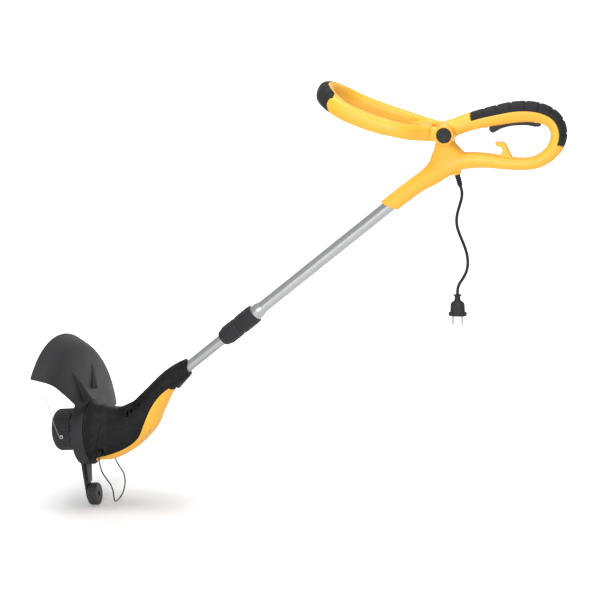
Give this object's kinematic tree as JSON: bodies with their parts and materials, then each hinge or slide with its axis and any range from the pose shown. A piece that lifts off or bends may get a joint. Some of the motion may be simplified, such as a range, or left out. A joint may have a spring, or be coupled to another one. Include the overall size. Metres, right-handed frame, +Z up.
{
  "type": "electric string trimmer",
  "caption": "Corded string trimmer with telescoping shaft, tilting front hoop handle, turning motor head, line spool, flared guard, edging wheel and wire plant guard.",
  "frame": {"origin": "middle of the rear grip, between the top bar and the lower bar of the handle loop", "axes": "+X from the head toward the rear handle, +Y to the tool's far side across the shaft, +Z up, with the shaft in the plane Y = 0"},
  "size_m": [1.0959, 0.3449, 0.9195],
  "materials": {
    "yellow_plastic": "smooth moulded",
    "black_plastic": "fine moulded grain",
    "grey_plastic": "smooth moulded",
    "natural_plastic": "smooth moulded",
    "black_rubber": "soft matt",
    "steel": "plated",
    "dark_wire": "black coated",
    "aluminium": "satin anodised",
    "motor_steel": "zinc plated",
    "copper_armature": "varnished",
    "brass": "plain",
    "trimmer_line": "translucent nylon"
  },
  "bodies": {
    "handle": {"handle_shell_near": "yellow_plastic", "handle_shell_far": "yellow_plastic", "grip_overmould": "black_rubber", "handle_screw_1": "steel", "handle_screw_2": "steel", "handle_screw_3": "steel", "handle_screw_4": "steel", "switch": "natural_plastic", "trigger_pin": "steel", "trigger_spring": "steel", "strain_relief": "black_rubber", "mains_cord": "black_rubber", "plug_body": "black_plastic", "plug_pin_near": "steel", "plug_pin_far": "steel", "pivot_bolt": "steel", "upper_tube": "aluminium", "clamp_collar": "black_plastic", "clamp_collet": "natural_plastic"},
    "trigger": {"trigger": "black_plastic"},
    "front_handle": {"front_handle": "yellow_plastic", "front_grip": "black_rubber", "pivot_cap": "black_plastic", "button_spring": "steel"},
    "lock_button": {"lock_button": "black_plastic"},
    "clamp_nut": {"clamp_nut": "black_plastic"},
    "lower_shaft": {"lower_tube": "aluminium", "tube_bushing": "natural_plastic", "swivel_ring": "natural_plastic"},
    "head": {"motor_housing_near": "black_plastic", "motor_housing_far": "black_plastic", "lower_cover": "yellow_plastic", "motor_can": "motor_steel", "motor_end_bell": "natural_plastic", "bearing_front": "steel", "bearing_rear": "steel", "brush_holder_near": "brass", "brush_holder_far": "brass", "guard": "black_plastic", "guard_screw_1": "steel", "guard_screw_2": "steel", "line_blade": "steel", "blade_screw": "steel", "wheel_bracket": "grey_plastic", "wheel_axle": "dark_wire"},
    "release_slide": {"release_slide": "grey_plastic"},
    "spool": {"armature": "copper_armature", "spool_base": "black_plastic", "spool_cap": "black_plastic", "bobbin": "natural_plastic", "line_winding": "trimmer_line", "spool_spring": "steel", "line_eyelet": "steel", "cutting_line": "trimmer_line"},
    "bump_button": {"bump_button": "black_plastic"},
    "wheel": {"wheel": "grey_plastic"},
    "wire_guard": {"wire_guard": "dark_wire"}
  },
  "joints": [
    {"name": "trigger_press", "type": "hinge", "parent": "handle", "child": "trigger", "pos_m": [0.062, 0, -0.005], "axis": [0, 1, 0], "range_deg": [0, 4.5], "stiffness_Nm_per_rad": 3, "springref_deg": -5.73, "deforming": ["trigger_spring"]},
    {"name": "front_handle_tilt", "type": "hinge", "parent": "handle", "child": "front_handle", "pos_m": [-0.1147, 0, -0.0297], "axis": [0, 1, 0], "range_deg": [-20, 60]},
    {"name": "lock_button_press", "type": "slide", "parent": "front_handle", "child": "lock_button", "axis": [0, 1, 0], "range_m": [0, 0.004], "stiffness_N_per_m": 500, "springref_m": -0.004, "deforming": ["button_spring"]},
    {"name": "clamp_nut_turn", "type": "hinge", "parent": "handle", "child": "clamp_nut", "pos_m": [-0.55413, 0, -0.44082], "axis": [-0.776, 0, -0.6307], "range_deg": [0, 180]},
    {"name": "shaft_telescope", "type": "slide", "parent": "handle", "child": "lower_shaft", "axis": [-0.776, 0, -0.6307], "range_m": [-0.07, 0.16]},
    {"name": "head_turn", "type": "hinge", "parent": "lower_shaft", "child": "head", "pos_m": [-0.70623, 0, -0.56443], "axis": [-0.776, 0, -0.6307], "range_deg": [0, 180]},
    {"name": "release_pull", "type": "slide", "parent": "head", "child": "release_slide", "axis": [-0.6675, 0, -0.7446], "range_m": [0, 0.003], "stiffness_N_per_m": 500, "springref_m": -0.003},
    {"name": "spool_spin", "type": "hinge", "parent": "head", "child": "spool", "pos_m": [-0.88618, 0, -0.67946], "axis": [0.9962, 0, 0.0872], "continuous": true},
    {"name": "bump_press", "type": "slide", "parent": "spool", "child": "bump_button", "axis": [0.9962, 0, 0.0872], "range_m": [0, 0.004], "stiffness_N_per_m": 800, "springref_m": -0.004, "deforming": ["spool_spring"]},
    {"name": "wheel_spin", "type": "hinge", "parent": "head", "child": "wheel", "pos_m": [-0.88999, 0, -0.82635], "axis": [0.9962, 0, 0.0872], "continuous": true},
    {"name": "wire_guard_swing", "type": "hinge", "parent": "head", "child": "wire_guard", "pos_m": [-0.853, 0, -0.714], "axis": [0, 1, 0], "range_deg": [-55, 6]}
  ]
}
